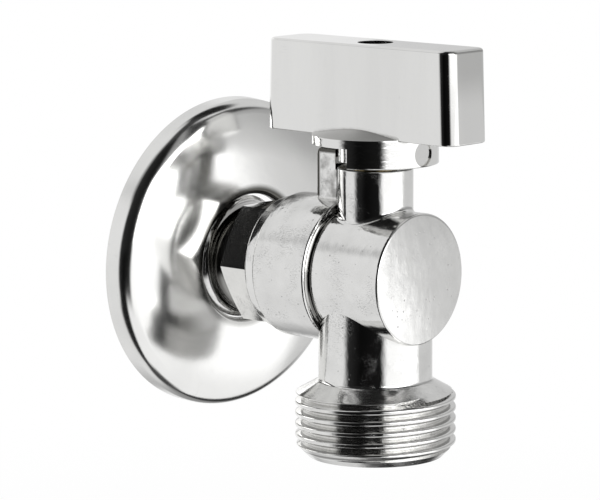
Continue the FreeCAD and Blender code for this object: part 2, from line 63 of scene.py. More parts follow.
def addCamera():
    azimuth = math.radians(view["azimuth"])
    elevation = math.radians(view["elevation"])
    back = Vector((
        math.sin(azimuth) * math.cos(elevation),
        -math.cos(azimuth) * math.cos(elevation),
        math.sin(elevation),
    ))
    right = Vector((math.cos(azimuth), math.sin(azimuth), 0))
    up = back.cross(right)
    data = bpy.data.cameras.new("photoCamera")
    data.lens = view["lens"]
    data.shift_x, data.shift_y = view["shift"]
    data.clip_start = view["nearest"]
    camera = addObject("photoCamera", data)
    turned = Matrix((right, up, back)).transposed().to_4x4()
    camera.matrix_world = Matrix.Translation(stemAxis + back * view["distance"]) @ turned
    bpy.context.scene.camera = camera


addCamera()
print("camera set")


# Node helpers

def addNode(tree, kind, **settings):
    node = tree.nodes.new(kind)
    for name, value in settings.items():
        setattr(node, name, value)
    return node


def freshTree(owner):
    # the emptied node tree of a material or of the world
    owner.use_nodes = True
    owner.node_tree.nodes.clear()
    return owner.node_tree


def feed(tree, socket, source):
    # a plain value is written on the socket, an output is linked to it
    if isinstance(source, bpy.types.NodeSocket):
        tree.links.new(source, socket)
    else:
        socket.default_value = source


def calc(tree, operation, *sources):
    node = addNode(tree, "ShaderNodeMath", operation=operation)
    for socket, source in zip(node.inputs, sources):
        feed(tree, socket, source)
    return node.outputs[0]


def times(tree, one, other):
    return calc(tree, "MULTIPLY", one, other)


def most(tree, largest, *others):
    for other in others:
        largest = calc(tree, "MAXIMUM", largest, other)
    return largest


def remap(tree, source, low, high, toLow, toHigh, smooth=False):
    node = addNode(tree, "ShaderNodeMapRange", interpolation_type="SMOOTHSTEP" if smooth else "LINEAR")
    for socket, value in zip(node.inputs, (source, low, high, toLow, toHigh)):
        feed(tree, socket, value)
    return node.outputs[0]


def mixColour(tree, factor, first, second):
    # a Mix node's colours are its inputs 6 and 7 and its output 2
    node = addNode(tree, "ShaderNodeMix", data_type="RGBA")
    feed(tree, node.inputs["Factor"], factor)
    feed(tree, node.inputs[6], first)
    feed(tree, node.inputs[7], second)
    return node.outputs[2]


def mixValue(tree, factor, first, second):
    # a Mix node's plain values are its inputs 2 and 3 and its output 0
    node = addNode(tree, "ShaderNodeMix", data_type="FLOAT")
    feed(tree, node.inputs["Factor"], factor)
    feed(tree, node.inputs[2], first)
    feed(tree, node.inputs[3], second)
    return node.outputs[0]


def grey(value):
    return (value, value, value, 1)


def warm(value):
    # the faint yellow of plating beside a true grey
    return (value, value * 0.998, value * 0.985, 1)


# Studio: white surroundings with a dark side where the photographer stands

studio = {
    "facing": -49.38,  # degrees, the dark side's direction about +Z
    "slant": 0.17,  # how far the right-hand panels lean, share of a turn for height
    "slantLevel": -0.16,  # height at which upright faces mirror the surroundings to the camera
    "slantFrom": (0.58, 0.68),  # share of a turn over which the lean sets in
    "slantTo": (0.85, 0.98),
}

# Brightness round each tier, by degrees from the dark side. A tier takes over between two heights.
leftWall = [(-180, 0.85), (-140, 1.05), (-126, 0.84), (-71, 0.84), (-55, 0.02)]
darkOverhead = [
    (-130, 0.82), (-100, 0.80), (-84, 0.40), (-62, 0.02), (18, 0.006), (36, 0.30), (76, 0.35), (104, 0.03),
]
eyeLevel = [
    *leftWall,
    (-30, 0.004), (8, 0.008), (26, 1.20), (89, 1.40), (97.5, 0.69), (150, 0.67), (172, 0.80),
]
tiers = [
    {
        "heights": (-0.08, 0.02),
        "stops": [
            *leftWall,
            (8, 0.008), (24, 3.20), (86, 3.20), (97.5, 0.66), (122, 0.42), (150, 0.38), (172, 0.65),
        ],
    },
    {
        "heights": (0.42, 0.60),
        "stops": [(-180, 0.72), *darkOverhead, (150, 0.04), (168, 0.70)],
    },
    {
        "heights": (0.76, 0.84),
        "stops": [
            (-180, 0.01), (-162, 0.02), (-150, 0.60),
            *darkOverhead,
            (142, 0.05), (152, 0.80), (162, 0.80), (170, 0.01),
        ],
    },
    {
        "heights": (-0.42, -0.60),
        "stops": [
            (-180, 0.30), (-130, 0.82), (-84, 0.80), (-62, 0.02), (-26, 0.01),
            (-10, 1.00), (84, 1.00), (106, 0.03), (150, 0.04), (172, 0.30),
        ],
    },
    {"heights": (0.95, 0.99), "stops": [(0, 0.06)]},
    {"heights": (-0.95, -0.99), "stops": [(0, 0.06)]},
]


def addRing(tree, turn, stopsWanted):
    ramp = addNode(tree, "ShaderNodeValToRGB")
    ramp.color_ramp.interpolation = "EASE"
    stops = ramp.color_ramp.elements
    stops.remove(stops[1])
    for i, (degrees, brightness) in enumerate(stopsWanted):
        place = degrees / 360 + 0.5
        stop = stops[0] if i == 0 else stops.new(place)
        stop.position = place
        stop.color = grey(brightness)
    feed(tree, ramp.inputs["Fac"], turn)
    return ramp.outputs["Color"]


def setWorld():
    world = bpy.data.worlds.new("studio")
    bpy.context.scene.world = world
    tree = freshTree(world)
    heading = addNode(tree, "ShaderNodeTexCoord").outputs["Generated"]
    axes = addNode(tree, "ShaderNodeSeparateXYZ")
    feed(tree, axes.inputs[0], heading)
    height = axes.outputs["Z"]
    turn = calc(tree, "ARCTAN2", axes.outputs["Y"], axes.outputs["X"])
    turn = calc(tree, "SUBTRACT", turn, math.radians(studio["facing"]))
    turn = calc(tree, "FRACT", calc(tree, "ADD", calc(tree, "DIVIDE", turn, 2 * math.pi), 0.5))
    rising = remap(tree, turn, *studio["slantFrom"], 0, 1)
    onRight = times(tree, rising, remap(tree, turn, *studio["slantTo"], 1, 0))
    lean = times(tree, calc(tree, "SUBTRACT", height, studio["slantLevel"]), studio["slant"])
    turn = calc(tree, "ADD", turn, times(tree, lean, onRight))
    walls = addRing(tree, turn, eyeLevel)
    for tier in tiers:
        share = remap(tree, height, *tier["heights"], 0, 1, smooth=True)
        walls = mixColour(tree, share, walls, addRing(tree, turn, tier["stops"]))
    surroundings = addNode(tree, "ShaderNodeBackground")
    feed(tree, surroundings.inputs["Color"], walls)
    backdrop = addNode(tree, "ShaderNodeBackground")
    backdrop.inputs["Color"].default_value = grey(1)
    backdrop.inputs["Strength"].default_value = 1
    seen = addNode(tree, "ShaderNodeLightPath").outputs["Is Camera Ray"]
    mix = addNode(tree, "ShaderNodeMixShader")
    feed(tree, mix.inputs["Fac"], seen)
    feed(tree, mix.inputs[1], surroundings.outputs[0])
    feed(tree, mix.inputs[2], backdrop.outputs[0])
    output = addNode(tree, "ShaderNodeOutputWorld")
    feed(tree, output.inputs["Surface"], mix.outputs[0])


floor = {
    "height": -90 * mm,
    "radius": 360 * mm,
    "segments": 96,
    "colour": 0.93,
    "fadeFrom": 0.15,  # share of the radius where the floor starts to fade into the backdrop
    "fadeFull": 0.90,
    "openWhite": 0.80,  # share of plain white the camera sees at the middle
}


def addFloor():
    mesh = bpy.data.meshes.new("floor")
    corners = []
    for i in range(floor["segments"]):
        angle = 2 * math.pi * i / floor["segments"]
        corners.append((
            stemAxis.x + floor["radius"] * math.cos(angle),
            floor["radius"] * math.sin(angle),
            floor["height"],
        ))
    mesh.from_pydata(corners, [], [list(range(len(corners)))])
    obj = addObject("floor", mesh)
    material = bpy.data.materials.new("paleFloor")
    tree = freshTree(material)
    place = addNode(tree, "ShaderNodeTexCoord").outputs["Object"]
    gap = addNode(tree, "ShaderNodeVectorMath", operation="DISTANCE")
    feed(tree, gap.inputs[0], place)
    gap.inputs[1].default_value = (stemAxis.x, 0, floor["height"])
    edge = floor["radius"]
    near, far = edge * floor["fadeFrom"], edge * floor["fadeFull"]
    fade = remap(tree, gap.outputs["Value"], near, far, floor["openWhite"], 1, smooth=True)
    path = addNode(tree, "ShaderNodeLightPath")
    rays = ("Is Camera Ray", "Is Glossy Ray", "Is Transmission Ray")
    seen = most(tree, *(path.outputs[ray] for ray in rays))
    paint = addNode(tree, "ShaderNodeBsdfDiffuse")
    paint.inputs["Color"].default_value = grey(floor["colour"])
    glow = addNode(tree, "ShaderNodeEmission")
    glow.inputs["Color"].default_value = grey(1)
    glow.inputs["Strength"].default_value = 1
    mix = addNode(tree, "ShaderNodeMixShader")
    feed(tree, mix.inputs["Fac"], times(tree, seen, fade))
    feed(tree, mix.inputs[1], paint.outputs[0])
    feed(tree, mix.inputs[2], glow.outputs[0])
    output = addNode(tree, "ShaderNodeOutputMaterial")
    feed(tree, output.inputs["Surface"], mix.outputs[0])
    mesh.materials.append(material)
    obj.visible_glossy = False  # the metal mirrors the surroundings down to below the floor


lamps = [
    {"name": "softKey", "at": (0.10, -0.55, 0.75), "size": 0.6, "watts": 5.0},
    {"name": "softFill", "at": (0.60, 0.45, 0.50), "size": 0.7, "watts": 2.5},
]


def addLamps():
    for lamp in lamps:
        data = bpy.data.lights.new(lamp["name"], "AREA")
        data.shape = "DISK"
        data.size = lamp["size"]
        data.energy = lamp["watts"]
        obj = addObject(lamp["name"], data)
        obj.location = lamp["at"]
        aim = stemAxis - obj.location
        obj.rotation_euler = aim.to_track_quat("-Z", "Y").to_euler()
        obj.visible_glossy = False  # the metal mirrors the studio, not the lamps


setWorld()
addFloor()
addLamps()
bpy.context.scene.view_settings.view_transform = "Standard"
print("studio set")


# Pipe threads, cut as helical grooves into the spigots of the body and the nipple

pipeThread = {
    "pitch": 1.814,
    "depth": 1.16,
    "rootHalf": 0.03,
    "flank": math.tan(math.radians(27.5)),
    "soften": 0.30,  # rounding of the crests
    "columns": 240,
    "rowsPerTurn": 20,
    "slopeStep": 0.015,  # along the spigot, for the slope of the surface
    "slopeSwing": 0.002,  # round it, in radians
    "tolerance": 0.002,
    "weldDigits": 4,  # places that agree to these decimals share a vertex
}

outletSpigot = {
    "node": "valve_body",
    "body": "body",
    "slot": "body_chrome",
    "name": "valveBody",
    "centre": (37.0, 0, 0),
    "axes": ((1, 0, 0), (0, 1, 0), (0, 0, 1)),  # across, across, along the spigot
    "outline": [  # from the free end: along, radius, rounding
        (-30.0, 11.12, 0),
        (-27.9, 13.22, 0),
        (-19.6, 13.22, 0.6),
        (-17.4, 9.35, 0.8),
        (-15.0, 9.35, 0),
    ],
    "topCorner": 3,  # the outline ends where this corner's rounding ends
    "crest": -25.88,  # a crest's place along the spigot at angle 0
    "runOut": {"groove": 3, "from": -0.10, "to": 0.02, "rise": 1.1},
    "dome": {"front": 46.6, "rise": 0.55, "rings": 12},
}

wallSpigot = {
    "node": "inlet_nipple",
    "body": "body",
    "slot": "nipple_chrome",
    "name": "inletNipple",
    "centre": (0, 0, 0),
    "axes": ((0, 1, 0), (0, 0, 1), (1, 0, 0)),
    "outline": [
        (-11.0, 9.48, 0),
        (-10.0, 10.48, 0),
        (0.82, 10.48, 0),
    ],
    "topCorner": None,
    "crest": -0.2625,
    "runOut": None,
    "dome": None,
}


def roundedOutline(corners, stopAt=None, steps=10):
    # polyline of (along, radius); a corner with a rounding becomes an arc
    points = []
    for i, (along, radius, rounding) in enumerate(corners):
        corner = Vector((along, radius))
        if not rounding:
            points.append(tuple(corner))
            continue
        before = (Vector(corners[i - 1][:2]) - corner).normalized()
        after = (Vector(corners[(i + 1) % len(corners)][:2]) - corner).normalized()
        half = before.angle(after) / 2
        reach = rounding / math.tan(half)
        centre = corner + (before + after).normalized() * (rounding / math.sin(half))
        first, last = corner + before * reach, corner + after * reach
        start = (first - centre).normalized()
        end = (last - centre).normalized()
        for k in range(steps + 1):
            spoke = start.slerp(end, k / steps)
            points.append(tuple(centre + spoke * rounding))
        if i == stopAt:
            break
    return points


def outlineRadius(points, along):
    if along <= points[0][0]:
        return points[0][1]
    for (a, ra), (b, rb) in zip(points, points[1:]):
        if along <= b:
            return ra + (rb - ra) * (along - a) / (b - a)
    return points[-1][1]


def softLeast(one, other, width):
    # the smaller of two values, rounded over where they meet
    mixing = max(width - abs(one - other), 0) / width
    return min(one, other) - mixing * mixing * width / 4


def threadRadius(spigot, points, along, angle):
    pitch = pipeThread["pitch"]
    crestRadius = max(radius for _, radius in points)
    root = crestRadius - pipeThread["depth"]
    turns = (along - spigot["crest"]) / pitch - angle / (2 * math.pi)
    groove = math.floor(turns)
    offset = (turns - groove - 0.5) * pitch  # from the groove's middle
    travel = groove + angle / (2 * math.pi)
    runOut = spigot["runOut"]
    if runOut and offset > 0:
        share = (travel - runOut["groove"] - runOut["from"]) / (runOut["to"] - runOut["from"])
        offset -= runOut["rise"] * min(max(share, 0), 1)
    wall = root + max(abs(offset) - pipeThread["rootHalf"], 0) / pipeThread["flank"]
    base = outlineRadius(points, along)
    return softLeast(base, wall, pipeThread["soften"])


def sewRings(upper, lower):
    # triangles between two rings of (angle, vertex), the outside facing out
    start = min(range(len(lower)), key=lambda k: abs(lower[k][0] - upper[0][0]))
    lower = lower[start:] + [(angle + 2 * math.pi, vertex) for angle, vertex in lower[:start]]
    upper = upper + [(upper[0][0] + 2 * math.pi, upper[0][1])]
    lower = lower + [(lower[0][0] + 2 * math.pi, lower[0][1])]
    faces = []
    i = j = 0
    while i < len(upper) - 1 or j < len(lower) - 1:
        lowerNext = lower[j + 1][0] if j < len(lower) - 1 else math.inf
        upperNext = upper[i + 1][0] if i < len(upper) - 1 else math.inf
        if lowerNext <= upperNext:
            face = (lower[j][1], lower[j + 1][1], upper[i][1])
            j += 1
        else:
            face = (upper[i + 1][1], upper[i][1], lower[j][1])
            i += 1
        if len(set(face)) == 3:
            faces.append(face)
    return faces


def startShell(spigot):
    # an empty mesh, with the spigot's axes and its rounded outline
    across, aside, along = (Vector(axis) for axis in spigot["axes"])
    return {
        "centre": Vector(spigot["centre"]),
        "across": across,
        "aside": aside,
        "along": along,
        "points": roundedOutline(spigot["outline"], spigot["topCorner"]),
        "places": [],
        "known": {},
        "faces": [],
        "normals": [],
    }


def addVertex(shell, place):
    key = tuple(round(value, pipeThread["weldDigits"]) for value in place)
    if key not in shell["known"]:
        shell["known"][key] = len(shell["places"])
        shell["places"].append(place)
    return shell["known"][key]


def addFace(shell, face, normals):
    shell["faces"].append(face)
    shell["normals"].extend(normals)


def local(shell, place):
    # height along the spigot, distance from its axis and angle round it
    arm = place - shell["centre"]
    x, y = arm.dot(shell["across"]), arm.dot(shell["aside"])
    return arm.dot(shell["along"]), math.hypot(x, y), math.atan2(y, x) % (2 * math.pi)


def outward(shell, angle):
    return shell["across"] * math.cos(angle) + shell["aside"] * math.sin(angle)


def threadNormal(shell, spigot, h, angle):
    points = shell["points"]
    step, swing = pipeThread["slopeStep"], pipeThread["slopeSwing"]
    above, below = min(h + step, points[-1][0]), max(h - step, points[0][0])
    rise = threadRadius(spigot, points, above, angle) - threadRadius(spigot, points, below, angle)
    gain = threadRadius(spigot, points, h, angle + swing) - threadRadius(spigot, points, h, angle - swing)
    slope = rise / (above - below)
    twist = gain / (2 * swing * threadRadius(spigot, points, h, angle))
    tangent = shell["aside"] * math.cos(angle) - shell["across"] * math.sin(angle)
    return (outward(shell, angle) - tangent * twist - shell["along"] * slope).normalized()


def keepRest(shell, spigot):
    # the CAD node without its plain spigot, flat end and flat front; returns the rings left open
    end = shell["points"][0][0]
    top, topRadius = shell["points"][-1]
    least = min(radius for _, radius in shell["points"])
    tolerance = pipeThread["tolerance"]
    dome = spigot["dome"]
    rings = {"top": {}, "bore": {}, "front": {}}
    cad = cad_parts[spigot["node"]].data
    cornerNormals = cad.corner_normals
    for polygon in cad.polygons:
        spots = [cad.vertices[v].co / mm for v in polygon.vertices]
        polar = [local(shell, spot) for spot in spots]
        onEnd = all(abs(h - end) < tolerance for h, _, _ in polar)
        onSpigot = all(h < top + tolerance and r > least - tolerance for h, r, _ in polar)
        onFront = dome and all(abs(spot.x - dome["front"]) < tolerance for spot in spots)
        if onSpigot or onEnd or onFront:
            continue
        face = [addVertex(shell, spot) for spot in spots]
        if len(set(face)) < 3:
            continue
        addFace(shell, face, [cornerNormals[k].vector.copy() for k in polygon.loop_indices])
        for (h, r, angle), vertex in zip(polar, face):
            place = shell["places"][vertex]
            if abs(h - top) < tolerance and abs(r - topRadius) < tolerance:
                rings["top"][vertex] = angle
            if abs(h - end) < tolerance:
                rings["bore"][vertex] = angle
            if dome and abs(place.x - dome["front"]) < tolerance:
                rings["front"][vertex] = math.atan2(place.z, place.y) % (2 * math.pi)
    return rings


def cutGrooves(shell, spigot):
    # the threaded surface, in rows that climb with the thread; returns its edge rings and its normals
    points = shell["points"]
    end, endRadius = points[0]
    top, topRadius = points[-1]
    pitch = pipeThread["pitch"]
    columns = pipeThread["columns"]
    phases = [k / pipeThread["rowsPerTurn"] for k in range(pipeThread["rowsPerTurn"])]
    first = math.floor((end - spigot["crest"]) / pitch) - 1
    last = math.ceil((top - spigot["crest"]) / pitch) + 1
    rows = [spigot["crest"] + (n + phase) * pitch for n in range(first, last) for phase in phases]
    normals = {}
    rings = {"top": {}, "end": {}}

    def gridVertex(row, column):
        angle = 2 * math.pi * column / columns
        h = min(max(row + pitch * angle / (2 * math.pi), end), top)
        angle %= 2 * math.pi
        if h == end:
            r = endRadius
        elif h == top:
            r = topRadius
        else:
            r = threadRadius(spigot, points, h, angle)
        vertex = addVertex(shell, shell["centre"] + outward(shell, angle) * r + shell["along"] * h)
        if vertex not in normals:
            normals[vertex] = threadNormal(shell, spigot, h, angle)
        if h == top:
            rings["top"][vertex] = angle
        if h == end:
            rings["end"][vertex] = angle
        return vertex

    for lowRow, highRow in zip(rows, rows[1:]):
        for column in range(columns):
            square = (
                gridVertex(lowRow, column),
                gridVertex(lowRow, column + 1),
                gridVertex(highRow, column + 1),
                gridVertex(highRow, column),
            )
            face = list(dict.fromkeys(square))
            if len(face) > 2:
                addFace(shell, face, [normals[vertex] for vertex in face])
    return rings, normals


def inOrder(ring):
    return sorted((angle, vertex) for vertex, angle in ring.items())


def domeFront(shell, dome, ring):
    # the front is a shallow dome of rings that shrink to its middle
    outer = [vertex for _, vertex in inOrder(ring)]
    rim = [shell["places"][vertex].copy() for vertex in outer]
    slope = 2 * dome["rise"] / rim[0].yz.length_squared
    for k in range(1, dome["rings"] + 1):
        share = 1 - k / dome["rings"]
        x = dome["front"] + dome["rise"] * (1 - share * share)
        inner = [addVertex(shell, Vector((x, spot.y * share, spot.z * share))) for spot in rim]
        for i, vertex in enumerate(outer):
            j = (i + 1) % len(outer)
            face = list(dict.fromkeys((vertex, outer[j], inner[j], inner[i])))
            spots = [shell["places"][corner] for corner in face]
            addFace(shell, face, [Vector((1, spot.y * slope, spot.z * slope)).normalized() for spot in spots])
        outer = inner


def cutThread(spigot):
    # copy of the CAD node with its plain spigot exchanged for a threaded one
    shell = startShell(spigot)
    rings = keepRest(shell, spigot)
    gridRings, gridNormals = cutGrooves(shell, spigot)
    for face in sewRings(inOrder(rings["top"]), inOrder(gridRings["top"])):
        normals = []
        for vertex in face:
            h, _, angle = local(shell, shell["places"][vertex])
            normals.append(gridNormals.get(vertex, threadNormal(shell, spigot, h, angle)))
        addFace(shell, face, normals)
    for face in sewRings(inOrder(gridRings["end"]), inOrder(rings["bore"])):
        addFace(shell, face, [-shell["along"]] * len(face))
    if spigot["dome"]:
        domeFront(shell, spigot["dome"], rings["front"])

    mesh = bpy.data.meshes.new(spigot["name"])
    mesh.from_pydata([place * mm for place in shell["places"]], [], shell["faces"])
    mesh.polygons.foreach_set("use_smooth", [True] * len(mesh.polygons))
    mesh.normals_split_custom_set(shell["normals"])
    obj = addObject(spigot["name"], mesh)
    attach(obj, spigot["body"])
    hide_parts(spigot["node"])
    print("thread cut on", spigot["name"], len(mesh.polygons), "faces")
    return obj


valveBody = cutThread(outletSpigot)
inletNipple = cutThread(wallSpigot)


# Wall rosette: one pressed sheet, turned as a closed outline, that leans on the nipple

rosette = {
    "edge": 26.25,  # outer radius
    "sheet": 0.8,
    "rim": 4.5,  # height of the upright edge
    "draft": 0.15,
    "corner": 2.9,
    "brow": 6.1,  # height at which the face bends over
    "browRadius": 20.0,
    "browRound": 40.0,
    "hole": 10.58,
    "foot": 7.1,  # height at the hole
    "collar": 1.6,  # turned in towards the wall
    "bend": 0.7,
    "lean": math.radians(5),
    "columns": 240,
    "arcSteps": 24,
    "sharpFrom": math.radians(30),
}


def turnRosette():
    edge, sheet, rim, draft = (rosette[name] for name in ("edge", "sheet", "rim", "draft"))
    brow, browRadius, foot, lean = (rosette[name] for name in ("brow", "browRadius", "foot", "lean"))
    hole = rosette["hole"] / math.cos(lean)
    outline = roundedOutline([
        (0, edge, 0),
        (rim, edge - draft, rosette["corner"]),
        (brow, browRadius, rosette["browRound"]),
        (foot, hole, rosette["bend"]),
        (foot - rosette["collar"], hole, 0),
        (foot - rosette["collar"], hole + sheet, 0),
        (foot - sheet, hole + sheet, 0),
        (brow - sheet, browRadius, rosette["browRound"] - sheet),
        (rim - sheet, edge - draft - sheet, rosette["corner"] - sheet),
        (0, edge - sheet, 0),
    ], steps=rosette["arcSteps"])
    columns, count = rosette["columns"], len(outline)
    shift = foot * math.sin(lean) / math.sqrt(2)
    seat = Matrix.Translation(Vector((edge * math.sin(lean), shift, shift)))
    seat = seat @ Matrix.Rotation(lean, 4, Vector((0, 1, -1)).normalized())
    spots, faces = [], []
    for i in range(columns):
        angle = 2 * math.pi * i / columns
        nextColumn = (i + 1) % columns
        for k, (along, radius) in enumerate(outline):
            spots.append(seat @ Vector((along, radius * math.cos(angle), radius * math.sin(angle))) * mm)
            m = (k + 1) % count
            faces.append((i * count + k, nextColumn * count + k, nextColumn * count + m, i * count + m))
    mesh = bpy.data.meshes.new("wallRosette")
    mesh.from_pydata(spots, [], faces)
    mesh.polygons.foreach_set("use_smooth", [True] * len(mesh.polygons))
    mesh.set_sharp_from_angle(angle=rosette["sharpFrom"])
    obj = addObject("wallRosette", mesh)
    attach(obj, "body")
    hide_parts("wall_rosette")
    print("rosette turned,", len(mesh.polygons), "faces")
    return obj


wallRosette = turnRosette()


# Handle: a copy of its node with rounder corners on the bar and the hub's dimple made shallow

lever = {
    "halfLength": 18.85,  # of the bar at its top
    "draft": 0.47,
    "halfWidth": 5.05,
    "bottom": 22.8,
    "top": 37.9,
    "cadCorner": 1.1,
    "corner": 2.3,
    "longer": 0.65,  # each end, which the rounder corners take off the outline again
    "dimpleRadius": 2.2,
    "dimpleHeight": 20.5,
    "cadFloor": 45.15,
    "dimpleFloor": 46.85,
    "tolerance": 0.01,
}


def shapeHandle():
    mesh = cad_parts["handle"].data.copy()
    mesh.name = "leverHandle"
    rounder = lever["corner"] - lever["cadCorner"]
    for vertex in mesh.vertices:
        spot = vertex.co / mm - stemAxis / mm
        depth = (lever["top"] - spot.z) / (lever["top"] - lever["bottom"])
        reach = lever["halfLength"] + lever["draft"] * depth
        middle = Vector((reach - lever["cadCorner"], lever["halfWidth"] - lever["cadCorner"]))
        arm = Vector((abs(spot.x), abs(spot.y))) - middle
        if min(arm) > -lever["tolerance"]:
            middle += Vector((lever["longer"] - rounder, -rounder))
            place = middle + arm.normalized() * (arm.length + rounder)
            vertex.co.x = stemAxis.x + math.copysign(place.x, spot.x) * mm
            vertex.co.y = math.copysign(place.y, spot.y) * mm
        inDimple = math.hypot(spot.y, spot.z - lever["dimpleHeight"]) < lever["dimpleRadius"]
        if inDimple and abs(vertex.co.x / mm - lever["cadFloor"]) < lever["tolerance"]:
            vertex.co.x = lever["dimpleFloor"] * mm
    obj = addObject("leverHandle", mesh)
    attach(obj, "rotor")
    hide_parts("handle")
    print("handle shaped")
    return obj


leverHandle = shapeHandle()


# Shared surface effects, as node groups working in millimetres

number, coords, tint = "NodeSocketFloat", "NodeSocketVector", "NodeSocketColor"


def newGroup(name, inputs, outputs):
    tree = bpy.data.node_groups.new(name, "ShaderNodeTree")
    for label, kind, value in inputs:
        socket = tree.interface.new_socket(name=label, in_out="INPUT", socket_type=kind)
        if value is not None:
            socket.default_value = value
    for label, kind in outputs:
        tree.interface.new_socket(name=label, in_out="OUTPUT", socket_type=kind)
    return tree, addNode(tree, "NodeGroupInput"), addNode(tree, "NodeGroupOutput")


def scaled(tree, vector, factor):
    node = addNode(tree, "ShaderNodeVectorMath", operation="MULTIPLY")
    feed(tree, node.inputs[0], vector)
    feed(tree, node.inputs[1], factor)
    return node.outputs[0]


def noise(tree, vector, scale, detail=2.0):
    node = addNode(tree, "ShaderNodeTexNoise")
    feed(tree, node.inputs["Vector"], vector)
    feed(tree, node.inputs["Scale"], scale)
    feed(tree, node.inputs["Detail"], detail)
    return node.outputs["Fac"]


def makePlatingGroup():
    # cloudy plating tone and a roughness that wanders with it
    tree, source, sink = newGroup(
        "platingTone",
        [
            ("Place", coords, None),
            ("Cloud Scale", number, 0.3),
            ("Grain Scale", number, 6.0),
            ("Grain Share", number, 0.35),
            ("Dark", tint, grey(0.74)),
            ("Light", tint, grey(0.84)),
            ("Rough Low", number, 0.05),
            ("Rough High", number, 0.12),
        ],
        [("Color", tint), ("Roughness", number)],
    )
    cloud = noise(tree, source.outputs["Place"], source.outputs["Cloud Scale"], 3)
    grain = noise(tree, source.outputs["Place"], source.outputs["Grain Scale"], 2)
    blend = mixValue(tree, source.outputs["Grain Share"], cloud, grain)
    low, high = 0.36, 0.64  # most of the noise lies between these
    share = remap(tree, blend, low, high, 0, 1)
    feed(tree, sink.inputs["Color"], mixColour(tree, share, source.outputs["Dark"], source.outputs["Light"]))
    rough = remap(tree, blend, high, low, source.outputs["Rough Low"], source.outputs["Rough High"])
    feed(tree, sink.inputs["Roughness"], rough)
    return tree


def makePitGroup():
    # sparse round pits left in a casting under the plating
    tree, source, sink = newGroup(
        "castPits",
        [
            ("Place", coords, None),
            ("Scale", number, 1.0),
            ("Size", number, 0.12),
            ("Share", number, 0.3),
        ],
        [("Mask", number), ("Height", number)],
    )
    cells = addNode(tree, "ShaderNodeTexVoronoi")
    feed(tree, cells.inputs["Vector"], source.outputs["Place"])
    feed(tree, cells.inputs["Scale"], source.outputs["Scale"])
    draw = addNode(tree, "ShaderNodeSeparateColor")
    feed(tree, draw.inputs[0], cells.outputs["Color"])
    chosen = calc(tree, "LESS_THAN", draw.outputs[0], source.outputs["Share"])
    smallest = 0.35  # share of the size that every pit has
    width = times(tree, source.outputs["Size"], calc(tree, "ADD", draw.outputs[1], smallest))
    dip = remap(tree, cells.outputs["Distance"], 0, width, 1, 0, smooth=True)
    mask = times(tree, dip, chosen)
    feed(tree, sink.inputs["Mask"], mask)
    feed(tree, sink.inputs["Height"], times(tree, mask, -1.0))
    return tree


def makeScratchGroup():
    # fine hair lines from polishing, stretched along one way
    tree, source, sink = newGroup(
        "polishLines",
        [
            ("Place", coords, None),
            ("Stretch", coords, (0.2, 8.0, 8.0)),
            ("Sharp", number, 0.04),
            ("Patch Scale", number, 0.25),
        ],
        [("Mask", number), ("Height", number)],
    )
    lines = noise(tree, scaled(tree, source.outputs["Place"], source.outputs["Stretch"]), 1.0, 1)
    middle = 0.5  # a line runs where the noise crosses its middle
    gap = calc(tree, "ABSOLUTE", calc(tree, "SUBTRACT", lines, middle))
    line = remap(tree, gap, 0, source.outputs["Sharp"], 1, 0, smooth=True)
    patch = noise(tree, source.outputs["Place"], source.outputs["Patch Scale"], 2)
    clear, full = 0.48, 0.66  # noise levels without lines and with all of them
    patch = remap(tree, patch, clear, full, 0, 1)
    mask = times(tree, line, patch)
    feed(tree, sink.inputs["Mask"], mask)
    feed(tree, sink.inputs["Height"], times(tree, mask, -1.0))
    return tree


def makeWaverGroup():
    # slow waver of a polished face, which bends its mirror image
    tree, source, sink = newGroup(
        "polishWaver",
        [
            ("Place", coords, None),
            ("Stretch", coords, (1.0, 1.0, 1.0)),
            ("Fine Share", number, 0.2),
        ],
        [("Height", number)],
    )
    place = scaled(tree, source.outputs["Place"], source.outputs["Stretch"])
    slow = noise(tree, place, 1.0, 1)
    fineScale = 5.0
    fine = noise(tree, place, fineScale, 2)
    ripple = times(tree, fine, source.outputs["Fine Share"])
    feed(tree, sink.inputs["Height"], calc(tree, "ADD", slow, ripple))
    return tree


def makeWearGroup():
    # thin plating along the edges, broken up by noise
    tree, source, sink = newGroup(
        "edgeWear",
        [
            ("Place", coords, None),
            ("Width", number, 0.3),
            ("Break Scale", number, 1.5),
        ],
        [("Mask", number)],
    )
    rounded = addNode(tree, "ShaderNodeBevel", samples=4)
    feed(tree, rounded.inputs["Radius"], times(tree, source.outputs["Width"], mm))
    turning = addNode(tree, "ShaderNodeVectorMath", operation="DOT_PRODUCT")
    feed(tree, turning.inputs[0], rounded.outputs["Normal"])
    feed(tree, turning.inputs[1], addNode(tree, "ShaderNodeNewGeometry").outputs["Normal"])
    flat, turned = 0.98, 0.80  # agreement of the true and the rounded normal
    edge = remap(tree, turning.outputs["Value"], flat, turned, 0, 1, smooth=True)
    breaks = noise(tree, source.outputs["Place"], source.outputs["Break Scale"], 3)
    low, high, faintest = 0.40, 0.60, 0.2  # noise levels of the faintest and the full wear
    gaps = remap(tree, breaks, low, high, faintest, 1)
    feed(tree, sink.inputs["Mask"], times(tree, edge, gaps))
    return tree


